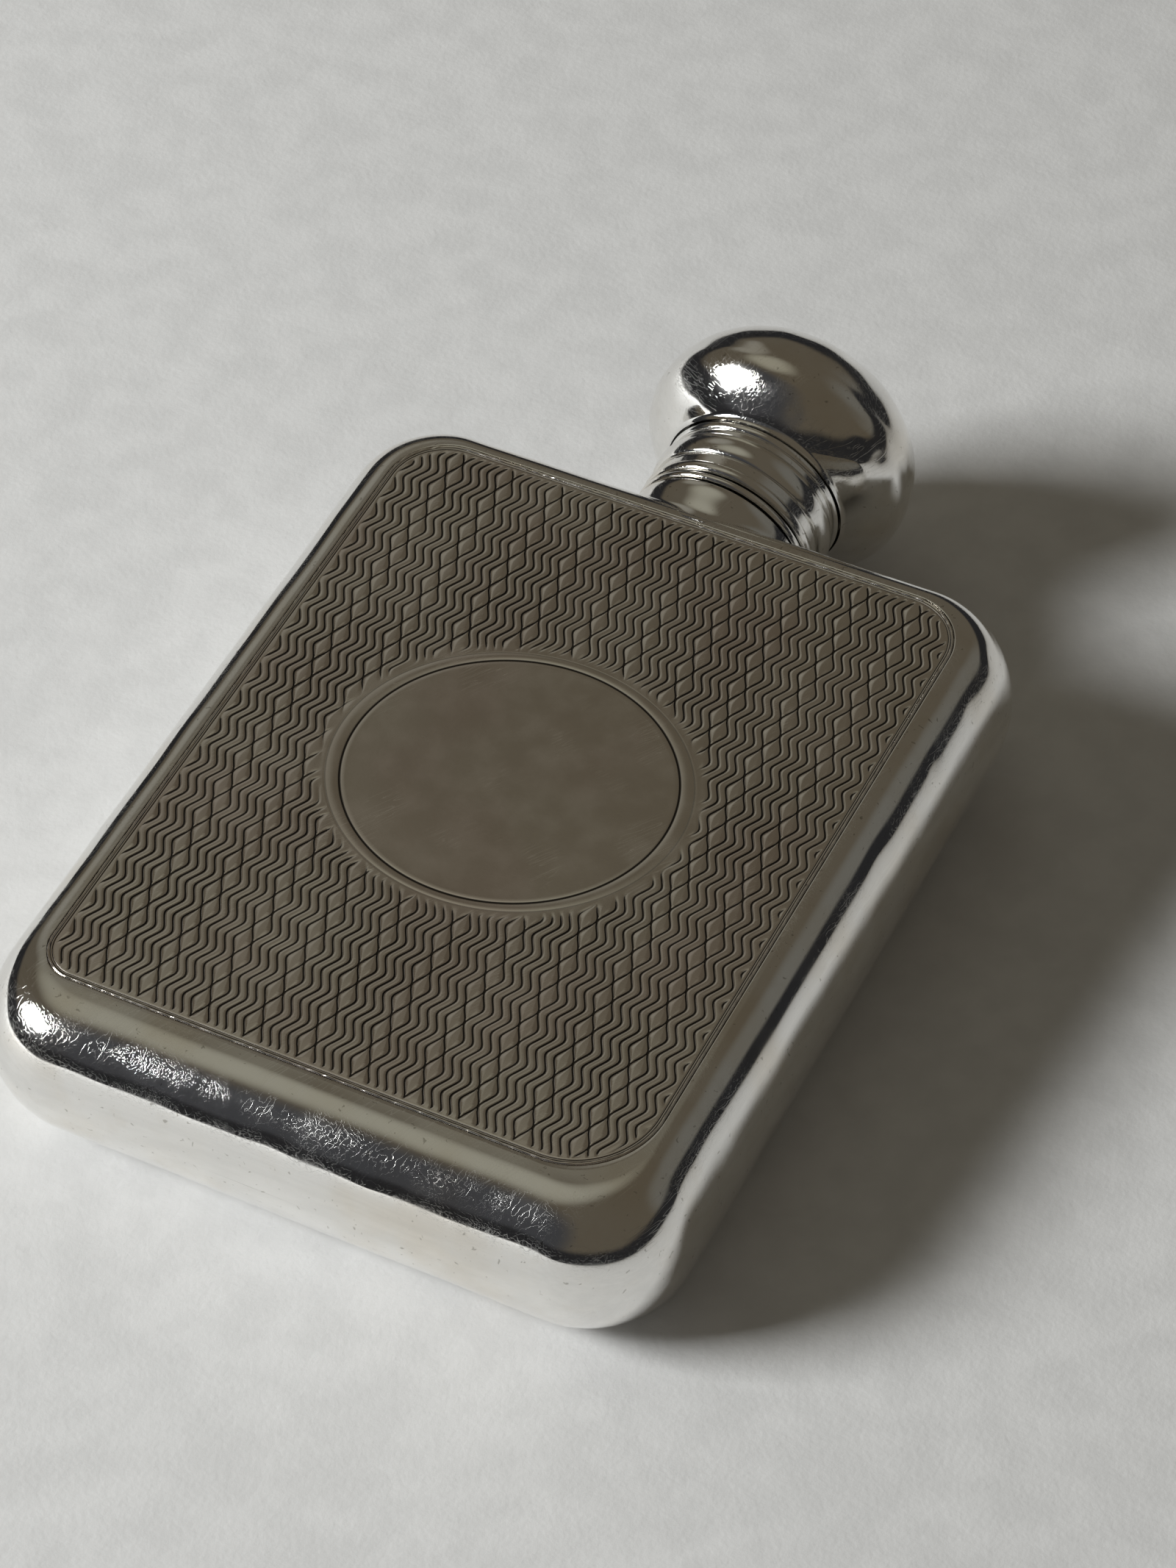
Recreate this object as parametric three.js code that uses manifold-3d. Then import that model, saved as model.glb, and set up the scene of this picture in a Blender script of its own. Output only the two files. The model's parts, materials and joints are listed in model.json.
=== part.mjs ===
// Pocket hip flask in sterling silver, lying on its back.
//
// Millimetres. +X to the right across the body, +Y from the base towards the cap, +Z up, out of
// the engine-turned front. The origin is the centre of the bounding box, at its bottom: the ball
// cap is wider than the body is thick, so the lowest point is the cap's.
//
// Every piece is drawn about the neck axis, which is the local Y axis with y = 0 at half the
// body's height, and one group then puts the whole flask in place.

import * as THREE from "three";
import { mergeVertices } from "three/addons/utils/BufferGeometryUtils.js";
import Module from "manifold-3d";

// ---- driving dimensions -------------------------------------------------------------------

const BODY_WIDTH = 63.5;
const BODY_HEIGHT = 77;
const BODY_THICKNESS = 15.4;
const BODY_CORNERS = { topRight: 8.1, topLeft: 8.1, bottomLeft: 9, bottomRight: 9 };
const WALL = 0.8; // silver sheet
const GAP = 0.3; // between pieces that are soldered or pressed together

const PANEL_WIDTH = 54;
const PANEL_HEIGHT = 66;
const PANEL_CENTRE = 1.9; // the panel sits nearer the neck than the base
const PANEL_CORNERS = { topRight: 5.4, topLeft: 5.4, bottomLeft: 3.5, bottomRight: 7.5 };
const PLATE = 0.5; // thickness of an engine-turned plate

// flat metal between the panel and the start of the rolled edge
const FLAT_MARGIN = { side: 0.4, top: 0.4, base: 3.6 };
const FLAT_CORNERS = { topRight: 5.6, topLeft: 5.6, bottomLeft: 6, bottomRight: 6 };

const CAP_RADIUS = 12.6;
const CAP_RIM = 50.3; // height of the cap's widest circle
const CAP_TOP = 60.7;
const CAP_UNDERSIDE = 47.4; // where the ball turns in to the skirt

const PITCH = 2;
const THREAD_TURNS = 2.25;
const THREAD_START = 42;
const THREAD_HEIGHT = 0.6;
const THREAD_ROOT = 1.1; // width of the ridge where it meets the wall
const THREAD_CREST = 0.5;

const TUBE_RADIUS = 5.9;
const BORE_RADIUS = 5.2;
const TUBE_FOOT = 37; // just inside the shoulder
const MOUTH = 49.1;
const LIP = 0.25; // chamfer round the mouth

const COLLAR_FOOT_RADIUS = 7.6;
const COLLAR_RADIUS = 8.3;
const COLLAR_TOP = 39.3;
const RING_RADIUS = 8.4;
const RING_BAND = { low: COLLAR_TOP + GAP, high: 40.3 };

const SKIRT_LOW = RING_BAND.high + GAP;
const SKIRT_GROOVE = 8.1; // radius in the grooves between the beads
const BEADS = [
  { y: 41.2, half: 0.55, radius: 8.45 },
  { y: 44.1, half: 1.3, radius: 8.65 },
  { y: 46.5, half: 0.5, radius: 8.45 },
];

const BUSH_BORE = 6.85; // at the root of the female thread
const BUSH_RADIUS = 7.4;

const CORK_RADIUS = 6.2;
const CORK = { low: MOUTH + GAP, high: 53 };
const CROWN = { low: CORK.high + GAP, high: 54 };
const WASHER = { low: 48.7, high: 49.1, radius: 2.8 };
const RIVET_RADIUS = 0.8;
const RIVET_HEAD = { radius: 1.8, height: 0.4, low: 48 };

const ROUND_SEGMENTS = 36;
const CORNER_DIVISIONS = 3;
const ROLL_STEPS = 6;

const HALF_THICKNESS = BODY_THICKNESS / 2;
const RECESS_DEPTH = PLATE + GAP;
const INNER_HALF = HALF_THICKNESS - RECESS_DEPTH - WALL; // half the thickness of the cavity

// ---- materials ----------------------------------------------------------------------------

function metal(color, roughness) {
  return new THREE.MeshStandardMaterial({ color, roughness, metalness: 1 });
}

const polishedSilver = metal(0xd8d5cf, 0.12);
const engravedSilver = metal(0xbab6ad, 0.25);
const innerSilver = metal(0xaaa69e, 0.35);
const corkBrown = new THREE.MeshStandardMaterial({ color: 0xb08a5c, roughness: 0.9, metalness: 0 });

// ---- solids: three.js geometry in and out of manifold-3d ------------------------------------

const wasm = await Module();
wasm.setup();

function toSolid(geometry) {
  const plain = geometry.clone();
  plain.deleteAttribute("normal");
  plain.deleteAttribute("uv");
  const merged = mergeVertices(plain, 1e-5);
  return new wasm.Manifold(
    new wasm.Mesh({
      numProp: 3,
      vertProperties: new Float32Array(merged.attributes.position.array),
      triVerts: new Uint32Array(merged.index.array),
    }),
  );
}

function toGeometry(solid) {
  const mesh = solid.getMesh();
  const geometry = new THREE.BufferGeometry();
  geometry.setAttribute("position", new THREE.BufferAttribute(new Float32Array(mesh.vertProperties), 3));
  geometry.setIndex(new THREE.BufferAttribute(new Uint32Array(mesh.triVerts), 1));
  geometry.computeVertexNormals();
  return geometry;
}

function cut(geometry, tool) {
  return toGeometry(toSolid(geometry).subtract(toSolid(tool)));
}

// ---- shapes -------------------------------------------------------------------------------

// A body of revolution about Y. The outline is [radius, y] pairs, counter-clockwise with the
// radius drawn to the right, and it either closes on itself or ends on the axis.
function turned(outline) {
  const points = outline.map(([radius, y]) => new THREE.Vector2(radius, y));
  const solidCore = outline[0][0] === 0;
  if (!solidCore) points.push(points[0].clone());
  return new THREE.LatheGeometry(points, ROUND_SEGMENTS);
}

function ring(inner, outer, { low, high }) {
  return turned([[inner, low], [outer, low], [outer, high], [inner, high]]);
}

// Points along a quarter turn, from angle 0 to a right angle.
function quarter(steps, pointAt) {
  return Array.from({ length: steps + 1 }, (_, step) => pointAt((step / steps) * (Math.PI / 2)));
}

// A rounded rectangle is kept as its four sides and its four corner radii.
function mixed(a, b, share) {
  return Object.fromEntries(Object.keys(a).map((key) => [key, a[key] + (b[key] - a[key]) * share]));
}

function grown(box, by) {
  return {
    right: box.right + by,
    top: box.top + by,
    left: box.left - by,
    base: box.base - by,
    topRight: box.topRight + by,
    topLeft: box.topLeft + by,
    bottomLeft: box.bottomLeft + by,
    bottomRight: box.bottomRight + by,
  };
}

function outlineShape({ right, top, left, base, topRight, topLeft, bottomLeft, bottomRight }) {
  const shape = new THREE.Shape();
  const square = Math.PI / 2;
  shape.absarc(right - topRight, top - topRight, topRight, 0, square, false);
  shape.absarc(left + topLeft, top - topLeft, topLeft, square, 2 * square, false);
  shape.absarc(left + bottomLeft, base + bottomLeft, bottomLeft, 2 * square, 3 * square, false);
  shape.absarc(right - bottomRight, base + bottomRight, bottomRight, 3 * square, 4 * square, false);
  return shape;
}

function outlineAt(box, z) {
  return outlineShape(box).getPoints(CORNER_DIVISIONS).map(({ x, y }) => new THREE.Vector3(x, y, z));
}

// Joins a stack of outlines into one closed body: the last outline joins the first to make a tube,
// or each has a flat end. The outlines run counter-clockwise as seen from beyond the last one.
function loft(outlines, isTube = false) {
  const count = outlines[0].length;
  const points = outlines.flat();
  const triangles = [];
  const bands = isTube ? outlines.length : outlines.length - 1;
  for (let level = 0; level < bands; level += 1) {
    const next = ((level + 1) % outlines.length) * count;
    for (let i = 0; i < count; i += 1) {
      const j = (i + 1) % count;
      triangles.push(level * count + i, level * count + j, next + j);
      triangles.push(level * count + i, next + j, next + i);
    }
  }
  const addEnd = (level, facesBack) => {
    const centre = outlines[level].reduce((sum, point) => sum.add(point), new THREE.Vector3());
    points.push(centre.divideScalar(count));
    for (let i = 0; i < count; i += 1) {
      const edge = [level * count + i, level * count + ((i + 1) % count)];
      if (facesBack) edge.reverse();
      triangles.push(points.length - 1, ...edge);
    }
  };
  if (!isTube) {
    addEnd(0, true);
    addEnd(outlines.length - 1, false);
  }
  const geometry = new THREE.BufferGeometry().setFromPoints(points);
  geometry.setIndex(triangles);
  return geometry;
}

// How far a thread stands out of its wall, from 0 to 1: one ridge with a trapezoid section that
// climbs with a right-hand lead and fades out over a sixth of a turn at each end.
function threadShare(start, y, angle) {
  const turnsUp = angle / (2 * Math.PI);
  const nearest = Math.round((y - start) / PITCH - turnsUp);
  const turn = nearest + turnsUp;
  const offCentre = Math.abs(y - start - turn * PITCH);
  const flank = (THREAD_ROOT / 2 - offCentre) / (THREAD_ROOT / 2 - THREAD_CREST / 2);
  const fade = 6 * Math.min(turn, THREAD_TURNS - turn);
  return THREE.MathUtils.clamp(Math.min(flank, fade), 0, 1);
}

// One side of a tube, from low to high: a row of rings of points, close together where the thread
// runs and nowhere else. A crest inside the plain radius makes a female thread.
function threadedWall({ low, high }, start, plain, crest) {
  const rowsPerPitch = 8;
  const rows = Math.ceil((THREAD_TURNS + THREAD_ROOT / PITCH) * rowsPerPitch);
  const firstRow = start - THREAD_ROOT / 2;
  const threadRows = Array.from({ length: rows + 1 }, (_, row) => firstRow + (row / rowsPerPitch) * PITCH);
  return [low, ...threadRows, high].map((y) =>
    Array.from({ length: ROUND_SEGMENTS }, (_, i) => {
      const angle = (i / ROUND_SEGMENTS) * 2 * Math.PI;
      const radius = plain + (crest - plain) * threadShare(start, y, angle);
      return new THREE.Vector3(radius * Math.sin(angle), y, radius * Math.cos(angle));
    }),
  );
}

function circleAt(radius, y) {
  return new THREE.Path().absarc(0, 0, radius, 0, 2 * Math.PI, false)
    .getSpacedPoints(ROUND_SEGMENTS).slice(0, ROUND_SEGMENTS)
    .map((point) => new THREE.Vector3(point.y, y, point.x));
}

// ---- body ---------------------------------------------------------------------------------

const panelBox = {
  right: PANEL_WIDTH / 2,
  top: PANEL_CENTRE + PANEL_HEIGHT / 2,
  left: -PANEL_WIDTH / 2,
  base: PANEL_CENTRE - PANEL_HEIGHT / 2,
  ...PANEL_CORNERS,
};
const flatBox = {
  right: panelBox.right + FLAT_MARGIN.side,
  top: panelBox.top + FLAT_MARGIN.top,
  left: panelBox.left - FLAT_MARGIN.side,
  base: panelBox.base - FLAT_MARGIN.base,
  ...FLAT_CORNERS,
};
const bodyBox = {
  right: BODY_WIDTH / 2,
  top: BODY_HEIGHT / 2,
  left: -BODY_WIDTH / 2,
  base: -BODY_HEIGHT / 2,
  ...BODY_CORNERS,
};

// The rolled side, a quarter ellipse in section, from its widest at the seam up to the flat face.
function rolledSide(widest, height, seam) {
  const seamAngle = Math.asin(seam / height);
  return Array.from({ length: ROLL_STEPS + 1 }, (_, step) => {
    const angle = seamAngle + (step / ROLL_STEPS) * (Math.PI / 2 - seamAngle);
    return outlineAt(mixed(flatBox, widest, Math.cos(angle)), height * Math.sin(angle));
  });
}

// The front half: a tray with a rolled rim, a recess for its plate and half of the round opening
// in the shoulder for the neck.
function frontShell() {
  const seam = GAP / 2;
  const outside = rolledSide(bodyBox, HALF_THICKNESS, seam);
  const inside = rolledSide(grown(bodyBox, -WALL), INNER_HALF, seam);
  const recess = grown(panelBox, GAP);
  const recessWall = [
    outlineAt(recess, HALF_THICKNESS),
    outlineAt(recess, HALF_THICKNESS - RECESS_DEPTH),
  ];
  const tray = loft([...inside.reverse(), ...outside, ...recessWall]);
  const opening = new THREE.CylinderGeometry(TUBE_RADIUS + GAP, TUBE_RADIUS + GAP, 4, ROUND_SEGMENTS);
  opening.translate(0, BODY_HEIGHT / 2, 0);
  return cut(tray, opening);
}

function plate() {
  const geometry = new THREE.ExtrudeGeometry(outlineShape(panelBox), {
    depth: PLATE,
    bevelEnabled: false,
    curveSegments: CORNER_DIVISIONS,
  });
  return geometry.translate(0, 0, HALF_THICKNESS - PLATE);
}

// The back half of the body repeats the front half, turned over about the neck axis.
function turnedOver(mesh) {
  mesh.rotation.y = Math.PI;
  return mesh;
}

// ---- neck ---------------------------------------------------------------------------------

// The body's outside, grown by the gap, that the collar is saddle-cut to.
function shoulderCutter() {
  const upper = rolledSide(grown(bodyBox, GAP), HALF_THICKNESS + GAP, 0);
  const lower = upper.slice(1).map((outline) => outline.map(({ x, y, z }) => new THREE.Vector3(x, y, -z)));
  return loft([...lower.reverse(), ...upper]);
}

function neckCollar() {
  const inner = TUBE_RADIUS + GAP;
  const foot = panelBox.top;
  const shoulder = BODY_HEIGHT / 2;
  const blank = turned([
    [inner, foot],
    [COLLAR_FOOT_RADIUS, foot],
    [COLLAR_FOOT_RADIUS, shoulder - 1],
    [(COLLAR_FOOT_RADIUS + COLLAR_RADIUS) / 2, shoulder - 0.2],
    [COLLAR_RADIUS, COLLAR_TOP - 0.4],
    [COLLAR_RADIUS, COLLAR_TOP - 0.15],
    [COLLAR_RADIUS - 0.15, COLLAR_TOP],
    [inner, COLLAR_TOP],
  ]);
  return cut(blank, shoulderCutter());
}

function neckRing() {
  const { low, high } = RING_BAND;
  const edge = RING_RADIUS - 0.2;
  const inner = TUBE_RADIUS + GAP;
  return turned([[inner, low], [edge, low], [RING_RADIUS, (low + high) / 2], [edge, high], [inner, high]]);
}

function neckTube() {
  const crest = TUBE_RADIUS + THREAD_HEIGHT;
  const outside = threadedWall({ low: TUBE_FOOT, high: MOUTH - LIP }, THREAD_START, TUBE_RADIUS, crest);
  const mouth = [
    circleAt(TUBE_RADIUS - LIP, MOUTH),
    circleAt(BORE_RADIUS + LIP, MOUTH),
    circleAt(BORE_RADIUS, MOUTH - LIP),
  ];
  return loft([...outside, ...mouth, circleAt(BORE_RADIUS, TUBE_FOOT)], true);
}

// ---- screw cap ----------------------------------------------------------------------------

// The ball's outside from its rim to its crown, a slightly square oval in section.
function domeCurve(radius, low, high, steps) {
  const power = 2 / 2.3;
  return quarter(steps, (angle) => {
    const across = Math.max(Math.cos(angle), 0) ** power;
    return [angle === Math.PI / 2 ? 0 : radius * across, low + (high - low) * Math.sin(angle) ** power];
  });
}

function capDome() {
  const low = CAP_RIM + GAP / 2;
  const outside = domeCurve(CAP_RADIUS, low, CAP_TOP, 9);
  const inside = domeCurve(CAP_RADIUS - WALL, low, CAP_TOP - WALL, 6);
  return new THREE.LatheGeometry(
    [...inside.reverse(), ...outside].map(([radius, y]) => new THREE.Vector2(radius, y)),
    ROUND_SEGMENTS,
  );
}

// The lower stamping of the ball, a shallow bowl that turns in from the rim to the skirt.
function capUnderside() {
  const high = CAP_RIM - GAP / 2;
  const bowl = (radius, low, steps) =>
    quarter(steps, (angle) => [
      SKIRT_GROOVE + (radius - SKIRT_GROOVE) * Math.sin(angle),
      high - (high - low) * Math.cos(angle),
    ]);
  const hub = BUSH_RADIUS + GAP;
  const outside = bowl(CAP_RADIUS, CAP_UNDERSIDE, 5);
  const inside = bowl(CAP_RADIUS - WALL, CAP_UNDERSIDE + WALL, 4).reverse();
  return turned([[hub, CAP_UNDERSIDE], ...outside, ...inside, [hub, CAP_UNDERSIDE + WALL]]);
}

// A reeded skirt: turned beads with round backs, one above another.
function capSkirt() {
  const steps = 6;
  const beads = BEADS.flatMap(({ y, half, radius }) =>
    Array.from({ length: steps + 1 }, (_, step) => {
      const angle = (step / steps - 0.5) * Math.PI;
      return [SKIRT_GROOVE + (radius - SKIRT_GROOVE) * Math.cos(angle), y + half * Math.sin(angle)];
    }),
  );
  const inner = BUSH_RADIUS + GAP;
  const high = CAP_UNDERSIDE - GAP;
  return turned([[inner, SKIRT_LOW], [SKIRT_GROOVE, SKIRT_LOW], ...beads, [SKIRT_GROOVE, high], [inner, high]]);
}

// The female thread runs half a pitch from the male one.
function threadedBush() {
  const span = { low: SKIRT_LOW, high: CROWN.low - GAP };
  const inside = threadedWall(span, THREAD_START + PITCH / 2, BUSH_BORE, BUSH_BORE - THREAD_HEIGHT);
  return loft([circleAt(BUSH_RADIUS, span.low), circleAt(BUSH_RADIUS, span.high), ...inside.reverse()], true);
}

function corkRivet() {
  const { radius, height, low } = RIVET_HEAD;
  const upset = CROWN.high + GAP;
  return turned([
    [0, low],
    [radius, low],
    [radius, low + height],
    [RIVET_RADIUS, low + height],
    [RIVET_RADIUS, upset],
    [radius, upset],
    [radius * 0.7, upset + height],
    [0, upset + height],
  ]);
}

// ---- assembly -----------------------------------------------------------------------------

function piece(name, geometry, material) {
  const mesh = new THREE.Mesh(geometry, material);
  mesh.name = name;
  return mesh;
}

const shell = frontShell();
const rivetHole = RIVET_RADIUS + GAP;

const body = new THREE.Group();
body.add(
  piece("front_shell", shell, polishedSilver),
  turnedOver(piece("back_shell", shell, polishedSilver)),
  piece("front_panel", plate(), engravedSilver),
  turnedOver(piece("back_panel", plate(), engravedSilver)),
  piece("neck_collar", neckCollar(), polishedSilver),
  piece("neck_ring", neckRing(), polishedSilver),
  piece("neck_tube", neckTube(), innerSilver),
);

const seal = new THREE.Group();
seal.add(
  piece("cork_wad", ring(rivetHole, CORK_RADIUS, CORK), corkBrown),
  piece("cork_washer", ring(rivetHole, WASHER.radius, WASHER), innerSilver),
);

const cap = new THREE.Group();
cap.add(
  piece("cap_dome", capDome(), polishedSilver),
  piece("cap_underside", capUnderside(), polishedSilver),
  piece("cap_skirt", capSkirt(), polishedSilver),
  piece("threaded_bush", threadedBush(), innerSilver),
  piece("crown_plate", ring(rivetHole, BUSH_RADIUS, CROWN), innerSilver),
  piece("cork_rivet", corkRivet(), innerSilver),
);

const flask = new THREE.Group();
flask.position.set(0, (BODY_HEIGHT / 2 - CAP_TOP) / 2, CAP_RADIUS);
flask.add(body, seal, cap);

const group = new THREE.Group();
group.add(flask);

export default group;
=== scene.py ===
# Pocket hip flask in polished sterling silver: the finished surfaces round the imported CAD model.
#
# Every piece is drawn in millimetres in the flask's own frame, where the neck axis is the Y axis,
# y = 0 is half the body's height and z = 0 is half its thickness. to_row() puts it in place.
# Lengths are in millimetres unless a comment says otherwise.

import json
import math

import bpy
import numpy as np
from mathutils import Matrix, Vector, noise

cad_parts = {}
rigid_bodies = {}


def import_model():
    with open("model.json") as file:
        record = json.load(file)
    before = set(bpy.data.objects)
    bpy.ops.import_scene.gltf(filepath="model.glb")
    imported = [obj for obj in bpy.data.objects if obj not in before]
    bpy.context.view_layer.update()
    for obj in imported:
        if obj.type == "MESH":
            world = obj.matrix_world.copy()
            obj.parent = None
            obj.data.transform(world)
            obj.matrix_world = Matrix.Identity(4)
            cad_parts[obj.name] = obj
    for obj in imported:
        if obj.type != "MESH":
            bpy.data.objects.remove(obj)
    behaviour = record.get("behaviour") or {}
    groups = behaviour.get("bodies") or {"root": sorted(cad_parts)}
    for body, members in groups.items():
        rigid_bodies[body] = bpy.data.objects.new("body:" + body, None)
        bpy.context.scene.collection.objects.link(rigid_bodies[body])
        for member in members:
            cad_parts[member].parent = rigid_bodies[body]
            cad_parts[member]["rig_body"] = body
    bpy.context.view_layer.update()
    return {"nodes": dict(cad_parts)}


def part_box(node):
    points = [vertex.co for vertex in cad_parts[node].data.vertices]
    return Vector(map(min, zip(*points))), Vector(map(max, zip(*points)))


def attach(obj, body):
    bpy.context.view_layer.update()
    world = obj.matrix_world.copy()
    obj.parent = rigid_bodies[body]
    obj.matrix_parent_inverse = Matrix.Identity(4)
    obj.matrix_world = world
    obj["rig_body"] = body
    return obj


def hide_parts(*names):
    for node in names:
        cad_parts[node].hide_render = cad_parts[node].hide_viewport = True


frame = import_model()

MM = 0.001

# ---- sizes read from the frame -----------------------------------------------------------------

shell_low, shell_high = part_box("front_shell")
skirt_low, skirt_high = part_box("cap_skirt")
ORIGIN = np.array([0, (shell_low.y + shell_high.y) / 2, (skirt_low.z + skirt_high.z) / 2])


def span(node, axis):
    """The lowest and highest place of a CAD node along an axis, in the flask's frame."""
    low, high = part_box(node)
    return (low[axis] - ORIGIN[axis]) / MM, (high[axis] - ORIGIN[axis]) / MM


X, Y, Z = range(3)

HALF_WIDTH = span("front_shell", X)[1]
HALF_HEIGHT = span("front_shell", Y)[1]
HALF_THICKNESS = span("front_shell", Z)[1]
PANEL_LEFT, PANEL_RIGHT = span("front_panel", X)
PANEL_BASE, PANEL_TOP = span("front_panel", Y)
PLATE = HALF_THICKNESS - span("front_panel", Z)[0]
COLLAR_TOP = span("neck_collar", Y)[1]
RING_LOW, RING_HIGH = span("neck_ring", Y)
SKIRT_LOW = span("cap_skirt", Y)[0]
UNDERSIDE_LOW = span("cap_underside", Y)[0]
CAP_RIM = (span("cap_underside", Y)[1] + span("cap_dome", Y)[0]) / 2
CAP_TOP = span("cap_dome", Y)[1]
CAP_RADIUS = span("cap_dome", X)[1]
TUBE_FOOT, MOUTH = span("neck_tube", Y)
BUSH_LOW, BUSH_HIGH = span("threaded_bush", Y)
BUSH_RADIUS = span("threaded_bush", X)[1]
CROWN_LOW, CROWN_HIGH = span("crown_plate", Y)
CORK_LOW, CORK_HIGH = span("cork_wad", Y)
CORK_RADIUS = span("cork_wad", X)[1]
WASHER_LOW, WASHER_HIGH = span("cork_washer", Y)
WASHER_RADIUS = span("cork_washer", X)[1]
RIVET_LOW, RIVET_HIGH = span("cork_rivet", Y)
RIVET_RADIUS = span("cork_rivet", X)[1]

# ---- sizes that no box states, as in the CAD model unless a comment says otherwise -------------

BODY_CORNERS = (8.1, 8.1, 9, 9)  # top right, top left, bottom left, bottom right
PANEL_CORNERS = (5.4, 5.4, 3.5, 7.5)
FLAT_CORNERS = (5.6, 5.6, 6, 6)
FLAT_SIDE = 0.4  # flat metal between the panel and the rolled edge
FLAT_BASE = 1.2  # the same at the base, where the CAD solid has 3.6
WALL = 0.8
GAP = 0.3  # between pieces that are soldered or pressed together
HALF_HAIRLINE = 0.0005  # half of a joint that is polished over; the CAD solids have GAP there

TUBE_RADIUS = 5.9
BORE_RADIUS = 5.2
BUSH_BORE = 6.85
THREAD_HEIGHT = 0.6
THREAD_START = 42
THREAD_TURNS = 2.25
THREAD_ROOT = 1.1  # width of the ridge where it meets the wall
THREAD_CREST = 0.5  # and at its top
PITCH = 2
SHANK_RADIUS = 0.8

COLLAR_WAIST = 7.6
COLLAR_RADIUS = 8.3
RING_RADIUS = 8.4
SKIRT_GROOVE = 8.1
BEADS = ((41.2, 0.55, 8.45), (44.1, 1.3, 8.65), (46.5, 0.5, 8.45))  # height, half width, radius

# How fine the meshes are.
SEGMENTS = 144  # round the neck axis
THREAD_STEP = 0.1  # between the loops of points along a thread

# ---- materials ---------------------------------------------------------------------------------


class Tree:
    """A material's node tree, with a short way to add a node and link its inputs."""

    def __init__(self, tree):
        self.tree = tree

    def add(self, kind, inputs=(), **settings):
        node = self.tree.nodes.new("ShaderNode" + kind)
        for name, value in settings.items():
            setattr(node, name, value)
        for name, value in dict(inputs).items():
            if isinstance(value, bpy.types.NodeSocket):
                self.tree.links.new(value, node.inputs[name])
            else:
                node.inputs[name].default_value = value
        return node

    def math(self, operation, a, b=0.0):
        return self.add("Math", {0: a, 1: b}, operation=operation).outputs[0]

    def ramp(self, value, low, high, start=0.0, end=1.0):
        """value's way from low to high, eased, as a number from start to end."""
        inputs = {"Value": value, "From Min": low, "From Max": high, "To Min": start, "To Max": end}
        return self.add("MapRange", inputs, interpolation_type="SMOOTHSTEP").outputs["Result"]

    def mix(self, share, a, b):
        node = self.add("Mix", data_type="RGBA")
        for socket, value in (("Factor_Float", share), ("A_Color", a), ("B_Color", b)):
            target = next(s for s in node.inputs if s.identifier == socket)
            if isinstance(value, bpy.types.NodeSocket):
                self.tree.links.new(value, target)
            else:
                target.default_value = value
        return next(s for s in node.outputs if s.identifier == "Result_Color")

    def place(self, scale=(1, 1, 1), turn=(0, 0, 0)):
        """The surface's own place in millimetres, stretched and turned."""
        where = self.add("TexCoord").outputs["Object"]
        scaled = [1 / (MM * size) for size in scale]
        turned = [math.radians(angle) for angle in turn]
        spun = self.add("Mapping", {"Vector": where, "Rotation": turned}).outputs["Vector"]
        return self.add("Mapping", {"Vector": spun, "Scale": scaled}).outputs["Vector"]

    def noise(self, scale, turn=(0, 0, 0), detail=2.0, distortion=0.0):
        """Noise whose spots are about scale millimetres long in each direction."""
        inputs = {"Vector": self.place(scale, turn), "Scale": 1.0, "Detail": detail}
        inputs["Distortion"] = distortion
        return self.add("TexNoise", inputs).outputs["Fac"]

    def scratches(self, length, width, turn, amount):
        """Thin marks, from 0 to 1: where a noise stretched along one direction crosses its middle.

        They lie in patches, and amount, from 0 to 1, says how much of the surface these cover.
        """
        grain = self.noise((width, length, width), turn, detail=1.0, distortion=0.15)
        off_middle = self.math("ABSOLUTE", self.math("SUBTRACT", grain, 0.5))
        line = self.ramp(off_middle, 0.0, 0.012, 1.0, 0.0)
        patch = self.ramp(self.noise((7, 7, 7), turn, detail=3.0), 1 - amount, 1.05 - amount * 0.8)
        return self.math("MULTIPLY", line, patch)


def new_material(name):
    material = bpy.data.materials.new(name)
    material.use_nodes = True
    material.node_tree.nodes.clear()
    tree = Tree(material.node_tree)
    shader = tree.add("BsdfPrincipled")
    output = tree.add("OutputMaterial")
    material.node_tree.links.new(shader.outputs[0], output.inputs["Surface"])
    return material, tree, shader


def link(tree, source, shader, name):
    tree.tree.links.new(source, shader.inputs[name])


def bump(tree, shader, height, strength, distance):
    """Relief for a shader. The distance is in millimetres."""
    inputs = {"Height": height, "Strength": strength, "Distance": distance * MM}
    link(tree, tree.add("Bump", inputs).outputs["Normal"], shader, "Normal")


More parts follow.
